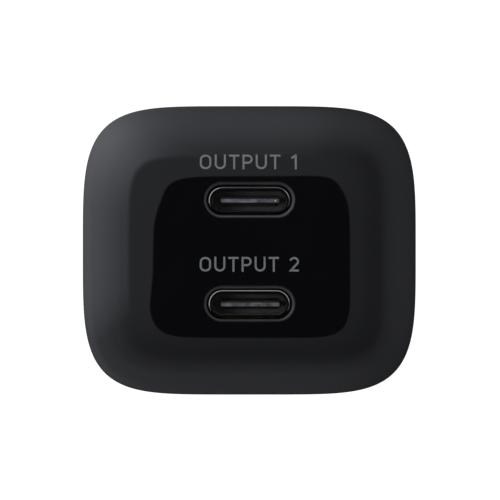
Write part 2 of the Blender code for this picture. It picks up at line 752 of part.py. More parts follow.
BELOW = MAIN_PCB_Z[0] - 0.3
ABOVE = MAIN_PCB_Z[1] + 0.3
can("bulk_capacitor_a", 4.4, 8.3, -25.9, BELOW, 17.0, CAN_SLEEVE)
can("bulk_capacitor_b", 4.0, 8.7, -16.6, BELOW, 15.0, CAN_SLEEVE)
box("x_capacitor", (-12.0, -2.4), (-17.0, -12.9), (0.6, BELOW), BOX_YELLOW, 0.3)
turned(
    "y_capacitor",
    [(0, -0.9), (1.6, -0.85), (2.7, -0.55), (3.0, 0.0), (2.7, 0.55), (1.6, 0.85), (0, 0.9)],
    (-8.0, -18.6, 6.6),
    "Y",
    DISC_BLUE,
    20,
)
ring_solid("choke_core", 2.02, 2.98, -1.2, 1.2, (1.5, -15.0, 5.7), "Y", FERRITE, 24, 0.2)
for label, base in (("left", 0.30), ("right", 0.30 + math.pi)):
    # each winding is a sleeve of wire round half of the ring
    bm = bmesh.new()
    rows = []
    for i in range(9):
        a = base + (math.pi - 0.6) * i / 8
        rows.append([])
        swell = 1.0 if i % 2 else 0.93
        for k in range(8):
            q = math.tau * (k + 0.5) / 8
            rr = 2.5 + 1.12 * swell * math.cos(q)
            hh = 2.35 * swell * math.sin(q)
            rows[-1].append((rr, hh, a))
    inner = []
    for row in rows:
        inner.append([(2.5 + (r - 2.5) * 0.80, h * 0.86, a) for r, h, a in row])

    def place(p):
        r, h, a = p
        return Vector((1.5 + r * math.cos(a), -15.0 + h, 5.7 + r * math.sin(a))) * MM

    o = [[bm.verts.new(place(p)) for p in row] for row in rows]
    n = [[bm.verts.new(place(p)) for p in row] for row in inner]
    for i in range(8):
        for k in range(8):
            j = (k + 1) % 8
            bm.faces.new((o[i][k], o[i][j], o[i + 1][j], o[i + 1][k]))
            bm.faces.new((n[i][j], n[i][k], n[i + 1][k], n[i + 1][j]))
    for end in (0, 8):
        for k in range(8):
            j = (k + 1) % 8
            bm.faces.new((o[end][j], o[end][k], n[end][k], n[end][j]))
    finish(f"choke_winding_{label}", bm, COPPER, 60)

turned("fuse", [(0, -4.1), (1.3, -4.1), (1.5, -3.9), (1.5, 3.9), (1.3, 4.1), (0, 4.1)], (-7.4, -10.9, 7.4), "X", FUSE_GREY, 18)
turned("thermistor", [(0, -1.0), (1.9, -0.9), (2.4, -0.5), (2.4, 0.5), (1.9, 0.9), (0, 1.0)], (1.2, -10.9, 7.2), "Y", DISC_GREEN, 18)
turned("varistor", [(0, -0.9), (2.2, -0.8), (2.8, -0.4), (2.8, 0.4), (2.2, 0.8), (0, 0.9)], (9.4, -10.9, 6.6), "Y", DISC_BLUE, 18)
box("bridge_rectifier", (-3.0, 3.0), (-16.0, -11.0), (ABOVE, ABOVE + 1.4), CHIP, 0.15)
box("flyback_controller", (-9.0, -3.5), (-24.0, -18.5), (ABOVE, ABOVE + 0.9), CHIP, 0.1)
box("controller_thermal_pad", (-9.2, -3.3), (-24.2, -18.3), (ABOVE + 1.2, ABOVE + 1.6), PAD)
box("sync_rectifier", (2.0, 7.0), (-28.0, -23.0), (ABOVE, ABOVE + 0.9), CHIP, 0.1)
box("optocoupler", (7.4, 10.2), (-20.5, -16.0), (ABOVE, ABOVE + 1.2), CHIP, 0.15)

# ---------------------------------------------------------------- parts on the port board
for label, x in (("a", -8.2), ("b", -1.2)):
    turned(
        f"output_capacitor_{label}",
        [(0, -31.9), (2.9, -31.9), (3.1, -31.7), (3.1, -31.0), (2.85, -30.7), (2.85, -30.4), (3.1, -30.1), (3.1, -24.0), (2.8, -23.7), (0, -23.7)],
        (x, 0, -7.9),
        "Y",
        CAN_METAL,
        20,
    )
box("buck_inductor", (3.6, 10.0), (-31.9, -27.0), (-11.2, -7.9), FERRITE, 0.4)
box("port_controller", (1.2, 5.4), (-31.9, -31.1), (-3.4, 0.8), CHIP, 0.1)
box("upper_port_switch", (4.8, 8.0), (-31.9, -31.2), (4.4, 7.4), CHIP, 0.1)
box("lower_port_switch", (6.8, 10.0), (-31.9, -31.2), (-5.6, -2.6), CHIP, 0.1)

# ---------------------------------------------------------------- heat spreader: floor sheet with a rear flange
sheet = [
    (-30.4, -12.15),
    (-14.0, -12.15),
    (-12.75, -11.9),
    (-12.2, -11.2),
    (-12.05, -10.4),
    (-12.05, -0.6),
]
strip("heat_spreader", sheet, 17.0, 0.45, 0.0, COPPER)
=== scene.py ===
import json
import math

import bmesh
import bpy
import numpy as np
from mathutils import Matrix, Vector


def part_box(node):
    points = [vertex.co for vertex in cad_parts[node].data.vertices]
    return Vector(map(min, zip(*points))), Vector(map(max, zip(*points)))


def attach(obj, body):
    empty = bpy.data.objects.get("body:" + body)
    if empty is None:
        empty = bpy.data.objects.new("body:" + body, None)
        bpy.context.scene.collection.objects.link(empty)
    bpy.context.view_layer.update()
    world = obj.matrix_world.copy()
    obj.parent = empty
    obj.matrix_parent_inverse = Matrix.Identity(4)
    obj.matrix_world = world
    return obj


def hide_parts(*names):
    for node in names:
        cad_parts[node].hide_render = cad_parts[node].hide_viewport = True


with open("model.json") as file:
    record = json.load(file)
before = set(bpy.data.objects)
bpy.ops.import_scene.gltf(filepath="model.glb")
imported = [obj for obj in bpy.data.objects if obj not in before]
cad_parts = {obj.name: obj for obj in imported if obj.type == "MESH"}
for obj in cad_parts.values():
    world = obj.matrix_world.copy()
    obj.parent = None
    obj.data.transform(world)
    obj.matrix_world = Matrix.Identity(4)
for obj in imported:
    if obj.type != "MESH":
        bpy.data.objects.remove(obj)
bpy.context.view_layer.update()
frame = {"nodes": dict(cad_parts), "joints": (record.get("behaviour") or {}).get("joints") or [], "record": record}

MM = 0.001

# ------------------------------------------------------------------ sizes, all from the frame
front_lo, front_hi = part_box("front_housing")
cover_lo, cover_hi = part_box("rear_cover")
A = (front_hi[0] - front_lo[0]) / 2 / MM
B = (front_hi[2] - front_lo[2]) / 2 / MM
CROWN_Y = front_lo[1] / MM + 0.014
SEAM_FRONT = front_hi[1] / MM
WIDE_Y = -16.0
NOSE = WIDE_Y - CROWN_Y
P, Q, PN = 5.1, 4.1, 2.5
TAIL, TAIL_END = 16.0, 0.90
WALL = 2.0
SEAM_Y = -4.0
PLATE = 2.0


def mid(node):
    lo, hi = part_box(node)
    return [(lo[i] + hi[i]) / 2 / MM for i in range(3)]


PORTS = {"upper": mid("upper_receptacle_tongue")[2], "lower": mid("lower_receptacle_tongue")[2]}
CUT_W, CUT_H, FILLET = 9.60, 3.38, 0.40
SEAT_DROP = 0.04  # each receptacle sits this much low in its hole
HOLES = {k: z + SEAT_DROP for k, z in PORTS.items()}
SHELL_LO, SHELL_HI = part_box("upper_receptacle_shell")
SHELL_FRONT = SHELL_LO[1] / MM
TONGUE_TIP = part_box("upper_receptacle_tongue")[0][1] / MM
TONGUE_W, TONGUE_T = 6.69, 0.70
blade_lo, blade_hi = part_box("blade_right")
BLADE_T = (blade_hi[0] - blade_lo[0]) / MM
BLADE_X = (blade_hi[0] + blade_lo[0]) / 2 / MM
BLADE_W = (blade_hi[2] - blade_lo[2]) / MM
BLADE_OUT = blade_hi[1] / MM
PIVOT_Y, PIVOT_Z = [frame["joints"][0]["pos_m"][i] / MM for i in (1, 2)]
SLOT_W = 2.1
SLOT_TOP = PIVOT_Z + BLADE_W / 2 + 0.28
SLOT_LOW = PIVOT_Z - (BLADE_OUT - PIVOT_Y) - 0.4
WELL_BOTTOM = -7.7


# ------------------------------------------------------------------ node material helpers
class Nodes:
    """Small helper that writes node maths as function calls."""

    def __init__(self, tree):
        self.tree = tree

    def new(self, kind, **props):
        n = self.tree.nodes.new(kind)
        for k, v in props.items():
            setattr(n, k, v)
        return n

    def put(self, socket, value):
        if isinstance(value, bpy.types.NodeSocket):
            self.tree.links.new(value, socket)
        elif value is not None:
            socket.default_value = value

    def math(self, op, a, b=None, c=None, clamp=False):
        n = self.new("ShaderNodeMath", operation=op, use_clamp=clamp)
        for i, v in enumerate((a, b, c)):
            if v is not None:
                self.put(n.inputs[i], v)
        return n.outputs[0]

    def add(self, a, b):
        return self.math("ADD", a, b)

    def sub(self, a, b):
        return self.math("SUBTRACT", a, b)

    def mul(self, a, b):
        return self.math("MULTIPLY", a, b)

    def div(self, a, b):
        return self.math("DIVIDE", a, b)

    def step(self, value, low, high, out_low=0.0, out_high=1.0):
        n = self.new("ShaderNodeMapRange", interpolation_type="SMOOTHSTEP")
        for name, v in (("Value", value), ("From Min", low), ("From Max", high), ("To Min", out_low), ("To Max", out_high)):
            self.put(n.inputs[name], v)
        return n.outputs["Result"]

    def noise(self, coords, scale, detail=3.0, rough=0.5, distortion=0.0):
        n = self.new("ShaderNodeTexNoise")
        self.put(n.inputs["Vector"], coords)
        n.inputs["Scale"].default_value = scale
        n.inputs["Detail"].default_value = detail
        n.inputs["Roughness"].default_value = rough
        n.inputs["Distortion"].default_value = distortion
        return n.outputs["Fac"]

    def stretch(self, coords, scale):
        n = self.new("ShaderNodeMapping")
        self.put(n.inputs["Vector"], coords)
        n.inputs["Scale"].default_value = scale
        return n.outputs["Vector"]

    def mix(self, fac, a, b):
        n = self.new("ShaderNodeMix", data_type="RGBA")
        self.put(n.inputs["Factor"], fac)
        for sock, v in ((n.inputs[6], a), (n.inputs[7], b)):
            if isinstance(v, bpy.types.NodeSocket):
                self.tree.links.new(v, sock)
            else:
                sock.default_value = (*v, 1.0)
        return n.outputs[2]

    def bump(self, height, strength, distance, normal=None):
        n = self.new("ShaderNodeBump")
        n.inputs["Strength"].default_value = strength
        n.inputs["Distance"].default_value = distance
        self.put(n.inputs["Height"], height)
        if normal is not None:
            self.put(n.inputs["Normal"], normal)
        return n.outputs["Normal"]


def blank(name):
    m = bpy.data.materials.new(name)
    m.use_nodes = True
    t = m.node_tree
    bsdf = t.nodes["Principled BSDF"]
    n = Nodes(t)
    coords = n.new("ShaderNodeTexCoord").outputs["Object"]
    return m, bsdf, n, coords


def surface(name, dark, light, rough, metallic=0.0, grain=900.0, fine=9000.0, bump=0.1, depth=2e-6, stretch=None,
            ior=1.5, coat=0.0, coat_rough=0.05, sss=0.0):
    """Two-scale procedural finish: broad colour drift, fine roughness grain, and a grain bump."""
    m, bsdf, n, coords = blank(name)
    src = n.stretch(coords, stretch) if stretch else coords
    broad = n.noise(src, grain, 4.0, 0.55)
    small = n.noise(src, fine, 2.0, 0.5)
    fac = n.add(n.mul(broad, 0.75), n.mul(small, 0.25))
    n.put(bsdf.inputs["Base Color"], n.mix(n.step(fac, 0.3, 0.7), dark, light))
    n.put(bsdf.inputs["Roughness"], n.step(small, 0.25, 0.75, rough[0], rough[1]))
    bsdf.inputs["Metallic"].default_value = metallic
    bsdf.inputs["IOR"].default_value = ior
    bsdf.inputs["Coat Weight"].default_value = coat
    bsdf.inputs["Coat Roughness"].default_value = coat_rough
    if sss:
        bsdf.inputs["Transmission Weight"].default_value = sss
    n.put(bsdf.inputs["Normal"], n.bump(n.add(small, n.mul(broad, 0.5)), bump, depth))
    return m


# Piano-gloss black: almost mirror smooth, with faint haze and a few fine wipe marks.
def gloss_black():
    m, bsdf, n, coords = blank("gloss_black_moulding")
    haze = n.noise(coords, 90.0, 4.0, 0.6)
    wipe = n.noise(n.stretch(coords, (160.0, 160.0, 1500.0)), 6.0, 3.0, 0.55, 0.4)
    dust = n.noise(coords, 14000.0, 1.0, 0.5)
    n.put(bsdf.inputs["Base Color"], n.mix(haze, (0.0006, 0.0006, 0.0008), (0.0010, 0.0010, 0.0013)))
    rough = n.add(n.step(haze, 0.3, 0.7, 0.028, 0.045), n.step(wipe, 0.62, 0.8, 0.0, 0.02))
    rough = n.add(rough, n.step(dust, 0.74, 0.80, 0.0, 0.10))
    n.put(bsdf.inputs["Roughness"], rough)
    bsdf.inputs["IOR"].default_value = 1.5
    n.put(bsdf.inputs["Normal"], n.bump(n.noise(coords, 260.0, 2.0, 0.4), 0.05, 3e-6))
    return m


GLOSS = gloss_black()
SATIN = surface("satin_black_moulding", (0.010, 0.010, 0.011), (0.018, 0.018, 0.019), (0.36, 0.50), grain=120.0, fine=5200.0, bump=0.55, depth=1.2e-5)
RIM_MAT = surface("port_rim_black", (0.0075, 0.0075, 0.0085), (0.0120, 0.0120, 0.0135), (0.10, 0.17), grain=400.0, fine=9000.0, bump=0.15, depth=2e-6, ior=1.75)
INK = surface("pad_print_grey", (0.068, 0.0745, 0.0825), (0.0895, 0.097, 0.106), (0.42, 0.55), grain=2600.0, fine=16000.0, bump=0.15, depth=2e-6)
SHELL_MAT = surface("shell_steel", (0.34, 0.33, 0.315), (0.46, 0.44, 0.42), (0.30, 0.42), 0.85, grain=700.0, fine=9000.0, bump=0.04, depth=1e-6)
# Shell lip steels: near-black steel for the flat face of the lip and the bottom of its turned edge, bright steel for
# the top and sides of that edge.
LIP_MAT = surface("shell_lip_near_black", (0.040, 0.040, 0.042), (0.070, 0.070, 0.072), (0.10, 0.18), 1.0, grain=700.0, fine=9000.0, bump=0.08, depth=1e-6)
EDGE_MAT = surface("shell_edge_bright_steel", (0.66, 0.635, 0.58), (0.80, 0.775, 0.71), (0.04, 0.08), 1.0, grain=500.0, fine=9000.0, bump=0.08, depth=1e-6)
POLISHED = surface("polished_steel", (0.86, 0.86, 0.86), (0.95, 0.95, 0.95), (0.04, 0.08), 1.0, grain=900.0, fine=9000.0, bump=0.05, depth=1e-6)
FLOOR_MAT = surface("receptacle_floor_grey", (0.050, 0.049, 0.049), (0.083, 0.080, 0.081), (0.40, 0.55), grain=500.0, fine=8000.0, bump=0.3, depth=5e-6)
STEEL = surface("drawn_steel", (0.50, 0.47, 0.42), (0.66, 0.62, 0.56), (0.20, 0.32), 1.0, grain=700.0, fine=9000.0, bump=0.12, depth=2e-6, stretch=(0.2, 1.0, 1.0))


# Tongue nose: sheared steel, dull and blotchy, with a few bright drag marks along its width.
def sheared_steel():
    m, bsdf, n, coords = blank("tongue_steel")
    blotch = n.noise(n.stretch(coords, (1.0, 0.5, 1.6)), 640.0, 3.0, 0.55, 0.3)
    streak = n.noise(n.stretch(coords, (0.25, 1.0, 2.4)), 5200.0, 2.0, 0.5)
    tone = n.add(n.mul(n.step(blotch, 0.40, 0.62), 0.7), n.mul(n.step(streak, 0.38, 0.66), 0.3))
    n.put(bsdf.inputs["Base Color"], n.mix(tone, (0.18, 0.20, 0.23), (0.61, 0.65, 0.70)))
    n.put(bsdf.inputs["Roughness"], n.step(blotch, 0.3, 0.7, 0.52, 0.34))
    bsdf.inputs["Metallic"].default_value = 0.88
    n.put(bsdf.inputs["Normal"], n.bump(n.add(blotch, n.mul(streak, 0.4)), 0.35, 6e-6))
    return m


MIDPLATE = sheared_steel()
GOLD = surface("contact_gold", (0.70, 0.47, 0.17), (0.85, 0.62, 0.28), (0.18, 0.30), 1.0, grain=1500.0, fine=12000.0, bump=0.1, depth=1e-6)
INNER = surface("insulator_black", (0.012, 0.012, 0.013), (0.022, 0.021, 0.022), (0.38, 0.52), grain=500.0, fine=8000.0, bump=0.3, depth=5e-6)
NICKEL = surface("nickel_plate", (0.69, 0.67, 0.63), (0.75, 0.73, 0.69), (0.20, 0.30), 0.80, grain=180.0, fine=3600.0, bump=0.05, depth=1.5e-6, stretch=(1.0, 0.05, 1.0))

CAD_FINISH = {
    "carrier_plastic": surface("carrier_nylon", (0.012, 0.012, 0.013), (0.024, 0.024, 0.026), (0.40, 0.55), grain=700.0, fine=9000.0, bump=0.4, depth=8e-6),
    "steel": STEEL,
    "bronze": surface("phosphor_bronze", (0.58, 0.36, 0.18), (0.76, 0.52, 0.30), (0.22, 0.36), 1.0, grain=500.0, fine=8000.0, bump=0.1, depth=2e-6),
    "board_green": surface("solder_mask", (0.008, 0.060, 0.022), (0.022, 0.115, 0.045), (0.22, 0.36), grain=900.0, fine=7000.0, bump=0.35, depth=1e-5, coat=0.3),
    "ferrite": surface("pressed_ferrite", (0.030, 0.030, 0.032), (0.075, 0.074, 0.076), (0.62, 0.80), grain=1800.0, fine=12000.0, bump=0.6, depth=1.5e-5),
    "bobbin_plastic": surface("phenolic", (0.040, 0.034, 0.028), (0.075, 0.064, 0.052), (0.42, 0.55), grain=900.0, fine=9000.0, bump=0.3, depth=6e-6),
    "winding_tape": surface("polyester_tape", (0.62, 0.43, 0.05), (0.78, 0.58, 0.10), (0.25, 0.38), grain=350.0, fine=5000.0, bump=0.5, depth=2e-5, stretch=(0.3, 0.3, 3.0), coat=0.4),
    "copper": surface("copper_metal", (0.62, 0.26, 0.13), (0.80, 0.38, 0.22), (0.22, 0.36), 1.0, grain=500.0, fine=7500.0, bump=0.25, depth=4e-6),
    "capacitor_sleeve": surface("shrink_sleeve", (0.022, 0.026, 0.045), (0.042, 0.048, 0.075), (0.25, 0.40), grain=300.0, fine=6000.0, bump=0.3, depth=8e-6),
    "capacitor_can": surface("spun_aluminium", (0.62, 0.63, 0.65), (0.78, 0.79, 0.81), (0.22, 0.36), 1.0, grain=400.0, fine=7000.0, bump=0.2, depth=3e-6, stretch=(1.0, 0.1, 1.0)),
    "film_capacitor": surface("resin_box", (0.55, 0.40, 0.04), (0.72, 0.56, 0.09), (0.42, 0.56), grain=700.0, fine=8000.0, bump=0.35, depth=8e-6),
    "disc_blue": surface("dipped_blue", (0.02, 0.10, 0.32), (0.05, 0.20, 0.50), (0.36, 0.50), grain=500.0, fine=6000.0, bump=0.5, depth=1.6e-5),
    "disc_green": surface("dipped_green", (0.015, 0.10, 0.05), (0.045, 0.20, 0.11), (0.40, 0.54), grain=500.0, fine=6000.0, bump=0.5, depth=1.6e-5),
    "chip_black": surface("moulded_package", (0.014, 0.014, 0.015), (0.030, 0.030, 0.032), (0.42, 0.56), grain=1600.0, fine=14000.0, bump=0.5, depth=7e-6),
    "fuse_body": surface("fuse_sleeve", (0.050, 0.050, 0.055), (0.095, 0.095, 0.10), (0.30, 0.44), grain=500.0, fine=7000.0, bump=0.3, depth=8e-6),
    "insulating_film": surface("polyester_film", (0.40, 0.37, 0.29), (0.54, 0.51, 0.42), (0.24, 0.38), grain=260.0, fine=4200.0, bump=0.25, depth=1e-5, sss=0.3),
    "thermal_pad": surface("silicone_pad", (0.32, 0.42, 0.52), (0.46, 0.56, 0.66), (0.62, 0.78), grain=1200.0, fine=9000.0, bump=0.6, depth=1.5e-5),
}
CAD_FINISH["inner_black"] = INNER
CAD_FINISH["gloss_black"] = GLOSS
CAD_FINISH["satin_black"] = SATIN
CAD_FINISH["nickel"] = NICKEL
for sub in frame["record"]["subparts"]:
    obj = frame["nodes"][sub["node"]]
    obj.data.materials.clear()
    obj.data.materials.append(CAD_FINISH[sub["material_slot"]])


# ------------------------------------------------------------------ mesh helpers
def put(name, bm, mat, smooth=35.0):
    bmesh.ops.recalc_face_normals(bm, faces=bm.faces)
    me = bpy.data.meshes.new(name)
    bm.to_mesh(me)
    bm.free()
    ob = bpy.data.objects.new(name, me)
    bpy.context.scene.collection.objects.link(ob)
    if mat:
        me.materials.append(mat)
    if smooth:
        me.shade_smooth()
        me.set_sharp_from_angle(angle=math.radians(smooth))
    return ob


def loft(name, rings, mat, smooth=35.0, closed=True, tube=False):
    """Skin through rings of equal length (mm). tube joins the last ring to the first."""
    bm = bmesh.new()
    made = [[bm.verts.new(Vector(p) * MM) for p in r] for r in rings]
    n = len(rings[0])
    pairs = list(zip(made, made[1:]))
    if tube:
        pairs.append((made[-1], made[0]))
    for low, high in pairs:
        for i in range(n):
            j = (i + 1) % n
            bm.faces.new((low[i], low[j], high[j], high[i]))
    if closed and not tube:
        bm.faces.new(list(reversed(made[0])))
        bm.faces.new(made[-1])
    return put(name, bm, mat, smooth)


def bake(ob):
    """Replaces the mesh with what its modifiers give."""
    dg = bpy.context.evaluated_depsgraph_get()
    me = bpy.data.meshes.new_from_object(ob.evaluated_get(dg), preserve_all_data_layers=True, depsgraph=dg)
    old = ob.data
    ob.modifiers.clear()
    ob.data = me
    me.name = ob.name
    bpy.data.meshes.remove(old)
    return ob


def tidy(ob):
    """Splits many-sided faces into triangles and drops any doubled ones, which enclose nothing."""
    bm = bmesh.new()
    bm.from_mesh(ob.data)
    bmesh.ops.remove_doubles(bm, verts=bm.verts, dist=2e-7)
    bmesh.ops.dissolve_degenerate(bm, edges=bm.edges, dist=2e-7)
    bmesh.ops.triangulate(bm, faces=[f for f in bm.faces if len(f.verts) > 4])
    seen = {}
    for f in bm.faces:
        seen.setdefault(frozenset(f.verts), []).append(f)
    twice = [f for group in seen.values() if len(group) > 1 for f in group]
    bmesh.ops.delete(bm, geom=twice, context="FACES_ONLY")
    bm.to_mesh(ob.data)
    bm.free()


def boolean(ob, others, operation="DIFFERENCE"):
    for o in others:
        mod = ob.modifiers.new(o.name, "BOOLEAN")
        mod.operation = operation
        mod.object = o
        mod.solver = "EXACT"
    bake(ob)
    for o in others:
        me = o.data
        bpy.data.objects.remove(o, do_unlink=True)
        bpy.data.meshes.remove(me)
    tidy(ob)
    return ob


def stadium(w, h, y, z, per_end=24, run=25, x=0.0):
    """Slot outline in XZ. Straight runs carry their own points so it can follow a curved face."""
    r = h / 2.0
    half = w / 2.0 - r
    pts = []
    for side, start in ((1, -90.0), (-1, 90.0)):
        for i in range(per_end + 1):
            a = math.radians(start + 180.0 * i / per_end)
            pts.append((x + side * half + r * math.cos(a), y, z + r * math.sin(a)))
        for i in range(1, run):
            pts.append((x + side * half * (1 - 2 * i / run), y, z + side * r))
    return pts


# ------------------------------------------------------------------ the pillow surface
def tail_scale(y):
    u = np.clip((y - WIDE_Y) / TAIL, 0.0, 1.0)
    return TAIL_END + (1.0 - TAIL_END) * (1.0 - u**4) ** (1.0 / 2.2)


def level(x, y, z, a=A, b=B, nose=NOSE):
    """Below 1 inside the body, 1 on its skin, above 1 outside."""
    d = np.clip((WIDE_Y - y) / nose, 0.0, None)
    s = tail_scale(y)
    return np.abs(x / (a * s)) ** P + np.abs(z / (b * s)) ** Q + d**PN


def skin_normal(x, y, z):
    h = 1e-3
    g = np.stack(
        [
            level(x + h, y, z) - level(x - h, y, z),
            level(x, y + h, z) - level(x, y - h, z),
            level(x, y, z + h) - level(x, y, z - h),
        ],
        -1,
    )
    return g / np.maximum(np.linalg.norm(g, axis=-1, keepdims=True), 1e-12)


def face_y(x, z):
    """Height of the domed face over a point of the XZ plane."""
    s = 1.0 - abs(x / A) ** P - abs(z / B) ** Q
    return WIDE_Y - NOSE * max(s, 0.0) ** (1.0 / PN)


def outline(a, b, y, segs):
    """Soft-rectangle section with evenly turned points."""
    t = np.linspace(0, math.tau, segs, endpoint=False)
    c, s = np.cos(t), np.sin(t)
    r = np.full(segs, min(a, b))
    for _ in range(60):
        f = np.abs(r * c / a) ** P + np.abs(r * s / b) ** Q - 1
        df = (P * np.abs(r * c / a) ** P + Q * np.abs(r * s / b) ** Q) / r
        r = r - f / df
    return [(float(px), y, float(pz)) for px, pz in zip(r * c, r * s)]


def nose_ring(d, segs, a=A, b=B, nose=NOSE):
    left = 1.0 - d**PN
    return outline(a * left ** (1 / P), b * left ** (1 / Q), WIDE_Y - nose * d, segs)


def tail_ring(y, segs, inset=0.0):
    s = float(tail_scale(y))
    return outline(A * s - inset, B * s - inset, y, segs)


SEGS = 300
rings = []
for k in range(46):  # the face, from the crown outwards
    rho = 0.03 + 0.87 * k / 45
    rings.append(nose_ring((1.0 - rho**P) ** (1 / PN), SEGS))
turn = (1.0 - 0.9**P) ** (1 / PN)
for k in range(1, 41):  # round the shoulder to the widest section
    rings.append(nose_ring(turn * (1.0 - k / 40), SEGS))
for k in range(1, 15):
    rings.append(tail_ring(WIDE_Y + (SEAM_FRONT - 0.22 - WIDE_Y) * k / 14, SEGS))
for k in range(1, 6):  # small radius into the parting line
    a = math.radians(90.0 * k / 5)
    rings.append(tail_ring(SEAM_FRONT - 0.22 + 0.22 * math.sin(a), SEGS, 0.22 * (1 - math.cos(a))))
inner_a, inner_b = A - WALL, B - WALL
rings.append(outline(inner_a, inner_b, SEAM_FRONT, SEGS))
for d in (0.0, 0.3, 0.55, 0.72, 0.84, 0.92, 0.97, 0.993, 0.9999):
    rings.append(nose_ring(d, SEGS, inner_a, inner_b, NOSE - WALL))
housing = loft("front_housing_skin", rings, GLOSS, 0)


def flare(ex):
    """The rounded lead-in is polished a little wider on the right of each hole."""
    return 1.0 + 0.16 * max(ex, 0.0)


cutters = []
for label, pz in HOLES.items():
    ring = []
    for px, _, z in stadium(CUT_W, CUT_H, 0, pz):
        ring.append((px, z))
    centre_half = CUT_W / 2 - CUT_H / 2

    def grown(grow, drop):
        out = []
        for px, z in ring:
            cx = max(-centre_half, min(centre_half, px))
            dx, dz = px - cx, z - pz
            ln = math.hypot(dx, dz)
            wide = flare(dx / ln)
            gx, gz = px + dx / ln * grow * wide, z + dz / ln * grow * wide
            out.append((gx, face_y(gx, gz) + (drop * wide if 0 <= drop <= FILLET else drop), gz))
        return out

    steps = [grown(0.0, 3.6), grown(0.0, FILLET)]
    for k in range(1, 12):
        a = math.radians(84.0 * k / 11)
        steps.append(grown(FILLET * (1 - math.cos(a)), FILLET * (1 - math.sin(a))))
    steps.append(grown(FILLET * 1.02, -0.05))
    steps.append(grown(FILLET * 1.6, -1.2))
    cutters.append(loft(f"cut_{label}", steps, None, 0))
boolean(housing, cutters)


def polish_skin(ob):
    """Normals straight from the surface's own formula, so that its reflections run clean through the port cuts."""
    me = ob.data
    me.shade_smooth()
    me.set_sharp_from_angle(angle=math.radians(40))
    nv = len(me.vertices)
    co = np.empty(nv * 3)
    me.vertices.foreach_get("co", co)
    co = co.reshape(-1, 3) / MM
    x, y, z = co.T
    on = np.abs(level(x, y, z) - 1.0) < 2e-3
    on &= y < SEAM_FRONT - 0.215
    exact = skin_normal(x, y, z)
    fil = np.zeros(nv, bool)
    fn = np.zeros((nv, 3))
    half = CUT_W / 2 - CUT_H / 2
    for pz in HOLES.values():
        cx = np.clip(x, -half, half)
        dx, dz = x - cx, z - pz
        ln = np.maximum(np.hypot(dx, dz), 1e-9)
        g = ln - CUT_H / 2
        radius = FILLET * (1.0 + 0.16 * np.maximum(dx / ln, 0.0))
        near = (g > -1e-3) & (g < radius * 1.05) & (y < CROWN_Y + 2.2)
        idx = np.nonzero(near)[0]
        for i in idx:
            drop = y[i] - face_y(x[i], z[i])
            ca = 1 - min(max(g[i] / radius[i], 0.0), 1.0)
            sa = math.sqrt(max(0.0, 1 - ca * ca))
            if drop > radius[i] + 0.02:
                continue
            e = np.array([dx[i] / ln[i], 0, dz[i] / ln[i]])
            v = -ca * e + sa * exact[i]
            fn[i] = v / np.linalg.norm(v)
            fil[i] = True
    loops = np.empty(len(me.loops) * 3, dtype=np.float32)
    me.corner_normals.foreach_get("vector", loops)
    loops = loops.reshape(-1, 3)
    vi = np.empty(len(me.loops), dtype=np.int32)
    me.loops.foreach_get("vertex_index", vi)
    poly = np.empty(len(me.polygons) * 3, dtype=np.float32)
    me.polygons.foreach_get("normal", poly)
    poly = poly.reshape(-1, 3)
    start = np.empty(len(me.polygons), dtype=np.int32)
    total = np.empty(len(me.polygons), dtype=np.int32)
    me.polygons.foreach_get("loop_start", start)
    me.polygons.foreach_get("loop_total", total)
    owner = np.repeat(np.arange(len(me.polygons)), total)
    for mask, source in ((fil, fn), (on & ~fil, exact)):
        want = source[vi]
        ok = mask[vi] & ((want * poly[owner]).sum(1) > 0.80)
        loops[ok] = want[ok]
    me.normals_split_custom_set(loops.tolist())
    me.materials.append(RIM_MAT)
    for poly_ in me.polygons:
        if all(fil[v] for v in poly_.vertices):
            poly_.material_index = 1


polish_skin(housing)
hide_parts("front_housing")
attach(housing, "housing")

# ------------------------------------------------------------------ rear cover
COVER_SEGS = 200
edge = 0.18
rings = []
skirt = (A - WALL - 0.3, B - WALL - 0.3)
inner = (skirt[0] - 1.2, skirt[1] - 1.2)
rings.append(outline(*inner, -PLATE, COVER_SEGS))
rings.append(outline(*inner, -8.0, COVER_SEGS))
rings.append(outline(*skirt, -8.0, COVER_SEGS))
rings.append(outline(*skirt, SEAM_Y, COVER_SEGS))
for k in range(6):
    a = math.radians(90.0 * k / 5)
    rings.append(tail_ring(SEAM_Y + edge * (1 - math.cos(a)), COVER_SEGS, edge * (1 - math.sin(a))))
for y in (-3.4, -2.9, -2.4, -1.92, -1.5, -1.15, -0.85, -0.6, -0.4, -0.25, -0.14, -0.06):
    rings.append(tail_ring(y, COVER_SEGS))
rings.append(tail_ring(-0.012, COVER_SEGS))
rings.append(tail_ring(0.0, COVER_SEGS))
cover = loft("rear_cover_skin", rings, SATIN, 0)


def block(name, x, y, z, mat=None):
    bm = bmesh.new()
    bmesh.ops.create_cube(bm, size=1.0)
    size = Vector((x[1] - x[0], y[1] - y[0], z[1] - z[0])) * MM
    m = Vector((x[0] + x[1], y[0] + y[1], z[0] + z[1])) * MM / 2
    bmesh.ops.transform(bm, matrix=Matrix.Translation(m) @ Matrix.Diagonal((*size, 1.0)), verts=bm.verts)
    return put(name, bm, mat, 0)


def rounded_rect(w, h, r, y, cx, cz, per=6):
    pts = []
    for sx, sz, start in ((1, 1, 0), (-1, 1, 90), (-1, -1, 180), (1, -1, 270)):
        for i in range(per + 1):
            t = math.radians(start + 90 * i / per)
            pts.append((cx + sx * (w / 2 - r) + r * math.cos(t), y, cz + sz * (h / 2 - r) + r * math.sin(t)))
    return pts


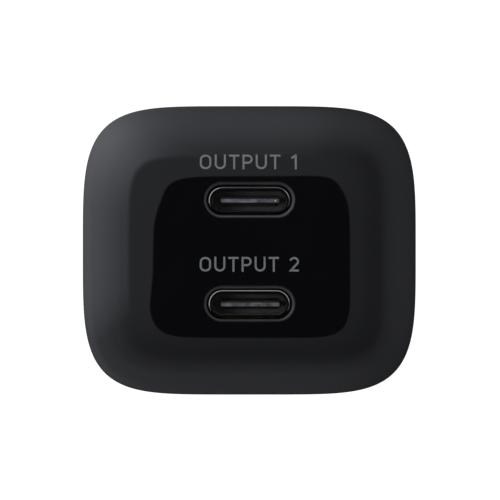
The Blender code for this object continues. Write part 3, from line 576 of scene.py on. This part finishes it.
wells, cuts = [], []
for label, side in (("left", -1), ("right", 1)):
    m = side * BLADE_X
    wells.append(block(f"well_{label}", (m - SLOT_W / 2 - 1.0, m + SLOT_W / 2 + 1.0), (WELL_BOTTOM - 0.9, -PLATE + 0.5), (SLOT_LOW - 1.0, SLOT_TOP + 1.0)))
    mz, hz = (SLOT_LOW + SLOT_TOP) / 2, SLOT_TOP - SLOT_LOW
    steps = [rounded_rect(SLOT_W, hz, 0.35, WELL_BOTTOM, m, mz), rounded_rect(SLOT_W, hz, 0.35, -0.16, m, mz)]
    for k in range(1, 6):
        a = math.radians(84.0 * k / 5)
        g = 0.16 * (1 - math.cos(a))
        steps.append(rounded_rect(SLOT_W + 2 * g, hz + 2 * g, 0.35 + g, -0.16 * (1 - math.sin(a)), m, mz))
    steps.append(rounded_rect(SLOT_W + 0.34, hz + 0.34, 0.5, 0.05, m, mz))
    steps.append(rounded_rect(SLOT_W + 1.0, hz + 1.0, 0.8, 1.0, m, mz))
    cuts.append(loft(f"slot_{label}", steps, None, 0))
    cuts.append(block(f"heel_{label}", (m - SLOT_W / 2 + 0.02, m + SLOT_W / 2 - 0.02), (-9.6, WELL_BOTTOM + 0.4), (PIVOT_Z - 4.6, SLOT_TOP - 0.02)))
seat = []
for i in range(25):
    a = math.radians(180.0 * i / 24)
    seat.append((PIVOT_Y + 2.1 * math.sin(a), PIVOT_Z + 2.1 * math.cos(a)))
seat += [(-10.0, PIVOT_Z - 2.1), (-10.0, PIVOT_Z + 2.1)]
cuts.append(loft("shaft_seat", [[(x, y, z) for y, z in seat] for x in (-9.6, 9.6)], None, 0))
DISH_Z = SLOT_LOW + 4.6
dish = [(11.0 + 0.6, 0.6), (11.0 + 0.06, 0.02), (11.0, -0.03)]
for k in range(1, 15):
    a = math.radians(90.0 * k / 15)
    dish.append((11.0 * math.cos(a), -1.15 * math.sin(a)))
steps = []
for radius, depth in dish:
    steps.append([(radius * math.cos(math.tau * i / 96), depth, DISH_Z + radius * 0.40 * math.sin(math.tau * i / 96)) for i in range(96)])
cuts.append(loft("finger_dish", steps, None, 0))
boolean(cover, wells, "UNION")
boolean(cover, cuts)
cover.data.shade_smooth()
cover.data.set_sharp_from_angle(angle=math.radians(28))
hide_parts("rear_cover")
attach(cover, "housing")


# ------------------------------------------------------------------ blades
def fine_blade(name, x):
    """Stamped blade: rounded edges all round, tapered and thinned tip, tip hole."""
    bev = 0.2
    cu = bpy.data.curves.new(name, "CURVE")
    cu.dimensions = "2D"
    cu.fill_mode = "BOTH"
    cu.extrude = (BLADE_T / 2 - bev) * MM
    cu.bevel_depth = bev * MM
    cu.bevel_resolution = 3
    cu.offset = -bev * MM
    half = BLADE_W / 2
    pts = []
    for i in range(33):
        a = math.radians(90.0 + 180.0 * i / 32)
        pts.append((PIVOT_Y + half * math.cos(a), half * math.sin(a)))
    for i in range(9):  # the two shoulders of the tip, as soft corners
        t = i / 8
        pts.append((BLADE_OUT - 2.4 + 2.4 * (1 - (1 - t) ** 2) ** 0.9 - 0.0, -half + 1.9 * t**2.1))
    for i in range(8, -1, -1):
        t = i / 8
        pts.append((BLADE_OUT - 2.4 + 2.4 * (1 - (1 - t) ** 2) ** 0.9 - 0.0, half - 1.9 * t**2.1))
    hole = [(11.7 + 1.6 * math.cos(-math.tau * i / 40), 1.6 * math.sin(-math.tau * i / 40)) for i in range(40)]
    k = 1.41
    key = [(PIVOT_Y - k, -k), (PIVOT_Y - k, k), (PIVOT_Y + k, k), (PIVOT_Y + k, -k)]
    for loop in (pts, hole, key):
        sp = cu.splines.new("POLY")
        sp.points.add(len(loop) - 1)
        for p, (u, v) in zip(sp.points, loop):
            p.co = (u * MM, v * MM, 0, 1)
        sp.use_cyclic_u = True
    tmp = bpy.data.objects.new(name + "_curve", cu)
    bpy.context.scene.collection.objects.link(tmp)
    dg = bpy.context.evaluated_depsgraph_get()
    me = bpy.data.meshes.new_from_object(tmp.evaluated_get(dg))
    bpy.data.objects.remove(tmp, do_unlink=True)
    bpy.data.curves.remove(cu)
    bm = bmesh.new()
    bm.from_mesh(me)
    bpy.data.meshes.remove(me)
    bmesh.ops.remove_doubles(bm, verts=bm.verts, dist=1e-7)
    for v in bm.verts:
        u, w, h = v.co / MM
        t = min(1.0, max(0.0, (u - (BLADE_OUT - 2.35)) / 2.35))
        v.co = Vector((x + h * (1 - 0.45 * t), min(u, BLADE_OUT), PIVOT_Z + w)) * MM
    ob = put(name, bm, NICKEL, 32)
    return ob


for label, side in (("left", -1), ("right", 1)):
    b = fine_blade(f"blade_{label}_fine", side * BLADE_X)
    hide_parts(f"blade_{label}")
    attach(b, "prongs")


# ------------------------------------------------------------------ receptacles
def rounded_box(bm, x, y, z, r, seg=2):
    part = bmesh.ops.create_cube(bm, size=1.0)["verts"]
    size = Vector((x[1] - x[0], y[1] - y[0], z[1] - z[0])) * MM
    m = Vector((x[0] + x[1], y[0] + y[1], z[0] + z[1])) * MM / 2
    bmesh.ops.transform(bm, matrix=Matrix.Translation(m) @ Matrix.Diagonal((*size, 1.0)), verts=part)
    bm.edges.index_update()
    edges = sorted({e for v in part for e in v.link_edges}, key=lambda e: e.index)
    bmesh.ops.bevel(bm, geom=edges, offset=r * MM, segments=seg, profile=0.5, affect="EDGES")


for label, pz in PORTS.items():
    # drawn shell with a turned lip: flat front face, small outer radius, softened mouth
    w, h = 8.94, 3.10
    lip_w, lip_top = 9.22, 1.46 if label == "upper" else 1.60
    lip_h = lip_top + 1.51
    extra = 0.0 if label == "upper" else 3.5

    def round_top(px, label=label):
        return 0.008 + 0.034 * min(1.0, (px / 3.2) ** 2) if label == "upper" else 0.050

    seat = -0.11 if label == "upper" else -0.03  # the insert's own play against the tongue's line
    inner_w, inner_h, inner_z = 8.50, 2.36, pz + seat
    front = SHELL_FRONT - (0.0 if label == "upper" else 0.15)
    back = -34.0
    lip_z = pz + (lip_top - 1.51) / 2
    steps = [stadium(w, h, back, pz), stadium(w, h, front + 0.55, pz)]
    steps.append(stadium(lip_w - 0.02, lip_h - 0.01, front + 0.34, lip_z))
    bare = len(steps)
    # turned edge: a small round running into a shallow chamfer. Drawing leaves it crisper along the bottom.
    reach = 0.035 * (1 - math.sin(math.radians(17.0))) + 0.09
    half = (lip_w - lip_h) / 2
    edge = []
    for px, _, z in stadium(lip_w, lip_h, 0.0, lip_z):
        ex, ez = px - max(-half, min(half, px)), z - lip_z
        ex, ez = ex / math.hypot(ex, ez), ez / math.hypot(ex, ez)
        up, down = max(ez, 0.0), max(-ez, 0.0)
        rr = 0.035 + up * (round_top(px) - 0.035) - down * 0.027
        lean_ = math.radians(17.0 + up * extra)
        flat = reach - rr * (1 - math.sin(lean_))
        edge.append((px, z, ex, ez, rr, lean_, flat, flat * math.tan(lean_)))

    def band_ring(k, t):
        """Ring k of the round, or the chamfer at t once k is past the round."""
        out = []
        for px, z, ex, ez, rr, lean_, flat, rise in edge:
            if k < 6:
                a = (math.pi / 2 - lean_) * k / 5
                g, up = rr * (1 - math.cos(a)), rise + rr * (math.cos(lean_) - math.sin(a))
            else:
                g, up = reach - flat * (1 - t), rise * (1 - t)
            out.append((px - ex * g, front + up, z - ez * g))
        return out

    steps += [band_ring(k, 0.0) for k in range(6)]
    steps += [band_ring(6, t) for t in (0.07, 0.5, 0.93, 1.0)]
    dark = len(steps)
    run_w, run_h = (lip_w - 2 * reach - inner_w) / 2, (lip_h - 2 * reach - inner_h) / 2
    crest, drop = front, 0.012
    for t in (0.02, 0.25, 0.5, 0.75, 1.0):
        steps.append(stadium(lip_w - 2 * reach - 2 * run_w * t, lip_h - 2 * reach - 2 * run_h * t, crest + drop * t, lip_z + (inner_z - lip_z) * t))
    for k in range(1, 5):
        a = math.radians(90.0 * k / 4)
        e = 0.04 * math.sin(a)
        steps.append(stadium(inner_w - 2 * e, inner_h - 2 * e, crest + drop + 0.04 * (1 - math.cos(a)) + 0.01 * k, inner_z))
    steps.append(stadium(inner_w - 0.08, inner_h - 0.08, back, inner_z))
    shell = loft(f"{label}_shell_fine", steps, SHELL_MAT, 40, tube=True)
    shell.data.materials.append(EDGE_MAT)
    shell.data.materials.append(LIP_MAT)
    # the turned edge is bright steel on its top and sides and near-black steel along its bottom; the flat face of the
    # lip is near-black steel
    for i, poly in enumerate(shell.data.polygons):
        band = i // len(steps[0])
        low = poly.center.z / MM < lip_z - 0.45 * lip_h / 2
        poly.material_index = 0 if band < bare or band >= len(steps) - 2 else 1 if band < dark - 1 and not low else 2
    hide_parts(f"{label}_receptacle_shell")
    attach(shell, "housing")

    # moulded insert: root block with a softened front edge, stepped shoulder and the tongue blade
    root_front = -35.6
    floor_w, floor_h = inner_w - 0.09, inner_h - 0.09
    steps = [stadium(floor_w, floor_h, -33.7, inner_z)]
    for k in range(6):
        a = math.radians(90.0 * k / 5)
        steps.append(stadium(floor_w - 0.2 * (1 - math.cos(a)), floor_h - 0.2 * (1 - math.cos(a)), root_front + 0.1 * (1 - math.sin(a)), inner_z))
    root = loft(f"{label}_insert_fine", steps, INNER, 40)
    bm = bmesh.new()
    off = 0.08
    rounded_box(bm, (off - 3.0, off + 3.0), (root_front - 0.75, root_front + 0.5), (pz + seat - 0.61, pz + seat + 0.61), 0.1)
    shoulder = put(f"shoulder_{label}", bm, INNER, 40)
    bm = bmesh.new()
    rounded_box(bm, (off - TONGUE_W / 2, off + TONGUE_W / 2), (TONGUE_TIP + 0.22, root_front + 0.8), (pz - TONGUE_T / 2, pz + TONGUE_T / 2), 0.07)
    plate = put(f"plate_{label}", bm, INNER, 40)
    boolean(root, [shoulder, plate], "UNION")
    root.data.shade_smooth()
    root.data.set_sharp_from_angle(angle=math.radians(32))
    root.data.materials.append(FLOOR_MAT)
    for poly in root.data.polygons:
        if poly.center.y / MM > root_front - 0.02:
            poly.material_index = 1
    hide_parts(f"{label}_receptacle_tongue")
    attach(root, "housing")

    # steel mid-plate: its nose is what shows at the front of the tongue
    nz = pz - 0.065
    bm = bmesh.new()
    if label == "upper":  # a burr left where the nose was sheared from its strip
        burr = bmesh.ops.create_cube(bm, size=1.0)["verts"]
        turn_ = Matrix.Rotation(math.radians(-20.0), 4, "Z") @ Matrix.Rotation(math.radians(-6.0), 4, "X")
        bmesh.ops.transform(bm, matrix=Matrix.Translation(Vector((2.97, TONGUE_TIP + 0.03, nz)) * MM) @ turn_ @ Matrix.Diagonal((0.20 * MM, 0.08 * MM, 0.20 * MM, 1.0)), verts=burr)
    rounded_box(bm, (off - TONGUE_W / 2 + 0.02, off + TONGUE_W / 2 - 0.02), (TONGUE_TIP + 0.005, TONGUE_TIP + 0.5), (nz - 0.215, nz + 0.215), 0.07, 3)
    nose = put(f"{label}_midplate_nose", bm, MIDPLATE, 40)
    nose.data.materials.append(POLISHED)
    for poly in nose.data.polygons:
        poly.material_index = int((poly.center / MM - Vector((2.97, TONGUE_TIP + 0.03, nz))).length < 0.11 and label == "upper")
    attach(nose, "housing")

    # gold contacts, twelve above and twelve below
    bm = bmesh.new()
    for i in range(12):
        cx = off + (i - 5.5) * 0.5
        far = 0.55 if i in (0, 3, 8, 11) else 0.85
        for s in (-1, 1):
            lo, hi = sorted((pz + s * (TONGUE_T / 2 - 0.05), pz + s * (TONGUE_T / 2 + 0.02)))
            rounded_box(bm, (cx - 0.125, cx + 0.125), (TONGUE_TIP + far, root_front - 0.5), (lo, hi), 0.015, 1)
    pads = put(f"{label}_contacts", bm, GOLD, 30)
    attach(pads, "housing")


# ------------------------------------------------------------------ printed legends
def arc(cx, cz, rx_, rz_, start, stop, count=14):
    return [
        (cx + rx_ * math.cos(math.radians(start + (stop - start) * i / count)), cz + rz_ * math.sin(math.radians(start + (stop - start) * i / count)))
        for i in range(count + 1)
    ]


# Stroke centre lines on a grid where capitals are 1 high: (advance width, open strokes, closed strokes)
GLYPHS = {
    "O": (0.74, [], [arc(0.37, 0.66, 0.29, 0.26, 0, 180) + arc(0.37, 0.34, 0.29, 0.26, 180, 360)]),
    "U": (0.72, [[(0.08, 1.0)] + [(0.08, 0.36)] + arc(0.36, 0.36, 0.28, 0.28, 180, 360)[1:] + [(0.64, 1.0)]], []),
    "T": (0.64, [[(0.0, 0.92), (0.64, 0.92)], [(0.32, 0.88), (0.32, 0.0)]], []),
    "P": (0.64, [[(0.08, 0.0), (0.08, 1.0)], [(0.11, 0.92), (0.34, 0.92)] + arc(0.34, 0.68, 0.24, 0.24, 90, -90)[1:] + [(0.11, 0.44)]], []),
    "1": (0.50, [[(0.04, 0.74), (0.28, 0.93), (0.30, 0.93), (0.30, 0.0)]], []),
    "2": (0.62, [arc(0.31, 0.68, 0.24, 0.24, 165, -35) + [(0.10, 0.08), (0.60, 0.08)]], []),
    " ": (0.30, [], []),
}
PEN = 0.130


def ribbon(path, pen, closed):
    """Left and right edges of a stroke with mitred corners."""
    n_ = len(path)
    left, right = [], []
    for i, (x, z) in enumerate(path):
        a = path[i - 1] if (closed or i) else path[i]
        c = path[(i + 1) % n_] if (closed or i < n_ - 1) else path[i]
        t1, t2 = Vector((x - a[0], z - a[1])), Vector((c[0] - x, c[1] - z))
        t1 = t1.normalized() if t1.length > 1e-9 else t2.normalized()
        t2 = t2.normalized() if t2.length > 1e-9 else t1
        n1, n2 = Vector((-t1.y, t1.x)), Vector((-t2.y, t2.x))
        m_ = n1 + n2
        m_ = m_ / max(0.35, m_.dot(n1))
        left.append((x + m_.x * pen / 2, z + m_.y * pen / 2))
        right.append((x - m_.x * pen / 2, z - m_.y * pen / 2))
    return left, right


def legend(name, words, z, width, height):
    """Generic wording laid on the domed face as a film of ink."""
    gap = 0.17
    total = sum(GLYPHS[c][0] for c in words) + gap * (len(words) - 1)
    kx, kz = width / total, height
    bm = bmesh.new()
    at = 0.0
    for c in words:
        advance, open_, closed_ = GLYPHS[c]
        for stroke, shut in [(q_, False) for q_ in open_] + [(q_, True) for q_ in closed_]:
            path = []
            for u, v in stroke:  # the same pen width whichever way the letters are stretched
                pt = ((at + u) * kx - width / 2, (v - 0.5) * kz)
                if not path or math.dist(pt, path[-1]) > 1e-6:
                    path.append(pt)
            if shut and math.dist(path[0], path[-1]) < 1e-6:
                path.pop()
            dense = []
            span = len(path) if shut else len(path) - 1
            for i in range(span):
                p0, p1 = path[i], path[(i + 1) % len(path)]
                cuts_ = max(1, math.ceil(math.dist(p0, p1) / 0.12))
                dense += [(p0[0] + (p1[0] - p0[0]) * j / cuts_, p0[1] + (p1[1] - p0[1]) * j / cuts_) for j in range(cuts_)]
            if not shut:
                dense.append(path[-1])
            left, right = ribbon(dense, PEN * height, shut)
            rails = []  # front left, front right, back right, back left
            for side, lift in ((left, -0.012), (right, -0.012), (right, 0.010), (left, 0.010)):
                rails.append([bm.verts.new(Vector((x, face_y(x, zz + z) + lift, zz + z)) * MM) for x, zz in side])
            count = len(dense)
            for i in range(count if shut else count - 1):
                j = (i + 1) % count
                for k in range(4):
                    r0, r1 = rails[k], rails[(k + 1) % 4]
                    bm.faces.new((r0[i], r0[j], r1[j], r1[i]))
            if not shut:
                for end in (0, count - 1):
                    bm.faces.new([rail[end] for rail in rails])
        at += advance + gap
    ob = put(name, bm, INK, 50)
    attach(ob, "housing")
    return ob


legend("legend_upper", "OUTPUT 1", 10.25, 11.3, 1.70)
legend("legend_lower", "OUTPUT 2", -1.36, 11.3, 1.70)

# ------------------------------------------------------------------ floor
bm = bmesh.new()
bmesh.ops.create_grid(bm, x_segments=8, y_segments=8, size=6.0)
floor = put("floor", bm, None, 0)
floor.location = (0, 0, -1.2)
m, bsdf, n, coords = blank("floor_paper")
n.put(bsdf.inputs["Base Color"], n.mix(n.noise(coords, 30.0, 3.0), (0.93, 0.93, 0.93), (0.96, 0.96, 0.96)))
bsdf.inputs["Roughness"].default_value = 0.8
bsdf.inputs["Specular IOR Level"].default_value = 0.0
floor.data.materials.append(m)
floor.visible_glossy = False

# ------------------------------------------------------------------ light
world = bpy.data.worlds.new("studio")
bpy.context.scene.world = world
world.use_nodes = True
wt = world.node_tree
wt.nodes.clear()
n = Nodes(wt)
ray = n.new("ShaderNodeSeparateXYZ")
wt.links.new(n.new("ShaderNodeTexCoord").outputs["Generated"], ray.inputs[0])
rx, ry, rz = ray.outputs
phi = n.mul(n.math("ARCCOSINE", n.math("MAXIMUM", n.math("MINIMUM", n.mul(ry, -1.0), 1.0), -1.0)), 180 / math.pi)
hyp = n.math("MAXIMUM", n.math("SQRT", n.add(n.mul(rx, rx), n.mul(rz, rz))), 1e-5)
p, q = n.div(rx, hyp), n.div(rz, hyp)
# dark opening round the camera: the half angle of its rim, in degrees, at each bearing
rim = n.new("ShaderNodeFloatCurve")
bearing = n.math("ARCTAN2", q, p)
n.put(rim.inputs["Value"], n.add(n.mul(bearing, 0.5 / math.pi), 0.5))
RIM = (
    (-180, 29.8), (-168, 34.1), (-156, 37.7), (-144, 40.2), (-132, 42.8), (-120, 46.3), (-108, 50.2), (-96, 53.0), (-84, 53.5), (-72, 51.6), (-60, 48.3),
    (-48, 44.9), (-36, 41.8), (-24, 39.4), (-12, 37.6), (0, 36.2), (12, 34.7), (24, 33.4), (36, 32.9), (48, 33.9), (60, 35.9), (72, 37.5),
    (84, 37.2), (96, 35.2), (108, 32.2), (120, 29.2), (132, 26.6), (144, 24.7), (156, 24.3), (168, 26.0), (180, 29.8),
)
curve = rim.mapping.curves[0]
while len(curve.points) < len(RIM):
    curve.points.new(0.5, 0.5)
for pt, (deg, half_angle) in zip(curve.points, RIM):
    pt.location = (deg / 360.0 + 0.5, half_angle / 90.0)
rim.mapping.update()
opening = n.step(n.sub(phi, n.mul(rim.outputs["Value"], 90.0)), -1.4, 1.4)
lean = n.add(n.mul(p, -0.776), n.mul(q, 0.63))  # 1 towards the upper left, where the key box is
away = n.sub(1.0, n.math("MAXIMUM", lean, 0.0))
wall = n.add(0.375, n.mul(lean, 0.075))
wall = n.sub(wall, n.mul(n.mul(n.step(phi, 40.0, 90.0), 0.105), away))
wall = n.add(wall, n.mul(n.mul(n.step(phi, 92.0, 116.0), 0.055), away))
side = n.math("MAXIMUM", n.add(n.mul(p, -0.85), n.mul(q, -0.53)), 0.0)  # a reflector low on the left
side = n.mul(side, side)
wall = n.add(wall, n.mul(n.mul(side, n.step(phi, 148.0, 164.0)), 0.13))
wall = n.sub(wall, n.mul(n.mul(n.mul(side, side), n.mul(n.step(phi, 104.0, 118.0), n.step(phi, 148.0, 162.0, 1.0, 0.0))), 0.045))
wall = n.sub(wall, n.mul(n.math("MAXIMUM", n.mul(q, -1.0), 0.0), 0.018))
under = n.math("POWER", n.math("MAXIMUM", n.add(n.mul(p, -0.342), n.mul(q, -0.94)), 0.0), 4.0)  # light coming back off the table
wall = n.add(wall, n.mul(n.mul(under, n.step(phi, 116.0, 132.0)), 0.065))
upper = n.math("POWER", n.math("MAXIMUM", n.add(n.mul(p, -0.82), n.mul(q, 0.57)), 0.0), 4.0)  # the key box thins towards its corner
wall = n.sub(wall, n.mul(n.mul(upper, n.step(phi, 98.0, 114.0)), 0.07))
lower = n.math("MAXIMUM", n.sub(n.mul(p, 0.7), n.mul(q, 0.7)), 0.0)
wall = n.sub(wall, n.mul(n.mul(n.mul(lower, lower), n.step(phi, 80.0, 100.0)), 0.035))
corner = n.math("MAXIMUM", n.mul(n.mul(p, q), n.math("GREATER_THAN", q, 0.0)), 0.0)
wall = n.sub(wall, n.mul(n.mul(corner, n.step(phi, 60.0, 100.0)), 0.08))
lobe = n.math("POWER", n.math("MAXIMUM", n.mul(n.sub(lean, 0.5), 2.0), 0.0), 1.4)
key = n.mul(lobe, n.step(phi, 66.0, 79.0, 0.0, 0.78))
hold = n.math("MAXIMUM", n.add(n.mul(p, -0.95), n.mul(q, 0.2)), 0.0)  # the left box wraps further round
over = n.mul(n.math("MAXIMUM", n.sub(phi, 94.0), 0.0), n.sub(1.0, n.mul(hold, 0.085)))
fall = n.math("EXPONENT", n.mul(n.mul(n.div(over, 50.0), n.div(over, 50.0)), -1.0))
lit = n.mul(n.add(wall, key), fall)
value = n.add(0.040, n.mul(opening, n.sub(lit, 0.040)))
glossy = n.new("ShaderNodeBackground")
n.put(glossy.inputs["Strength"], value)
glossy.inputs["Color"].default_value = (0.955, 0.985, 1.08, 1.0)
plain = n.new("ShaderNodeBackground")
plain.inputs["Color"].default_value = (1.0, 1.0, 1.0, 1.0)
plain.inputs["Strength"].default_value = 1.12
path = n.new("ShaderNodeLightPath")
pick = n.new("ShaderNodeMixShader")
wt.links.new(path.outputs["Is Glossy Ray"], pick.inputs[0])
wt.links.new(plain.outputs[0], pick.inputs[1])
wt.links.new(glossy.outputs[0], pick.inputs[2])
wt.links.new(pick.outputs[0], n.new("ShaderNodeOutputWorld").inputs[0])


def area(name, where, size, power, glossy=False):
    li = bpy.data.lights.new(name, "AREA")
    li.shape = "RECTANGLE"
    li.size, li.size_y = size
    li.energy = power
    ob = bpy.data.objects.new(name, li)
    bpy.context.scene.collection.objects.link(ob)
    ob.location = where
    ob.rotation_mode = "QUATERNION"
    ob.rotation_quaternion = (Vector((0, -0.016, 0)) - Vector(where)).to_track_quat("-Z", "Y")
    ob.visible_glossy = glossy
    return ob


area("key", (-0.55, -0.35, 0.60), (0.45, 0.45), 2.2)
area("fill", (-0.30, -0.72, 0.05), (0.25, 0.25), 2.3)

# ------------------------------------------------------------------ camera
PX = 8.515  # picture pixels per mm at the widest section, in the 500 pixel frame
DIST = 752.0
cam_data = bpy.data.cameras.new("camera")
cam_data.sensor_width = 36.0
cam_data.lens = 36.0 * DIST / (500.0 / PX)
cam_data.clip_start, cam_data.clip_end = 0.05, 20.0
cam = bpy.data.objects.new("camera", cam_data)
bpy.context.scene.collection.objects.link(cam)
aim = Vector((0.7 / PX, WIDE_Y, 0.1 / PX)) * MM
tilt = math.radians(0.53)
cam.location = aim + Vector((0, -DIST * math.cos(tilt), DIST * math.sin(tilt))) * MM
cam.rotation_mode = "QUATERNION"
cam.rotation_quaternion = (aim - cam.location).to_track_quat("-Z", "Y")
bpy.context.scene.camera = cam
bpy.context.scene.view_settings.view_transform = "Standard"
bpy.context.scene.view_settings.look = "None"
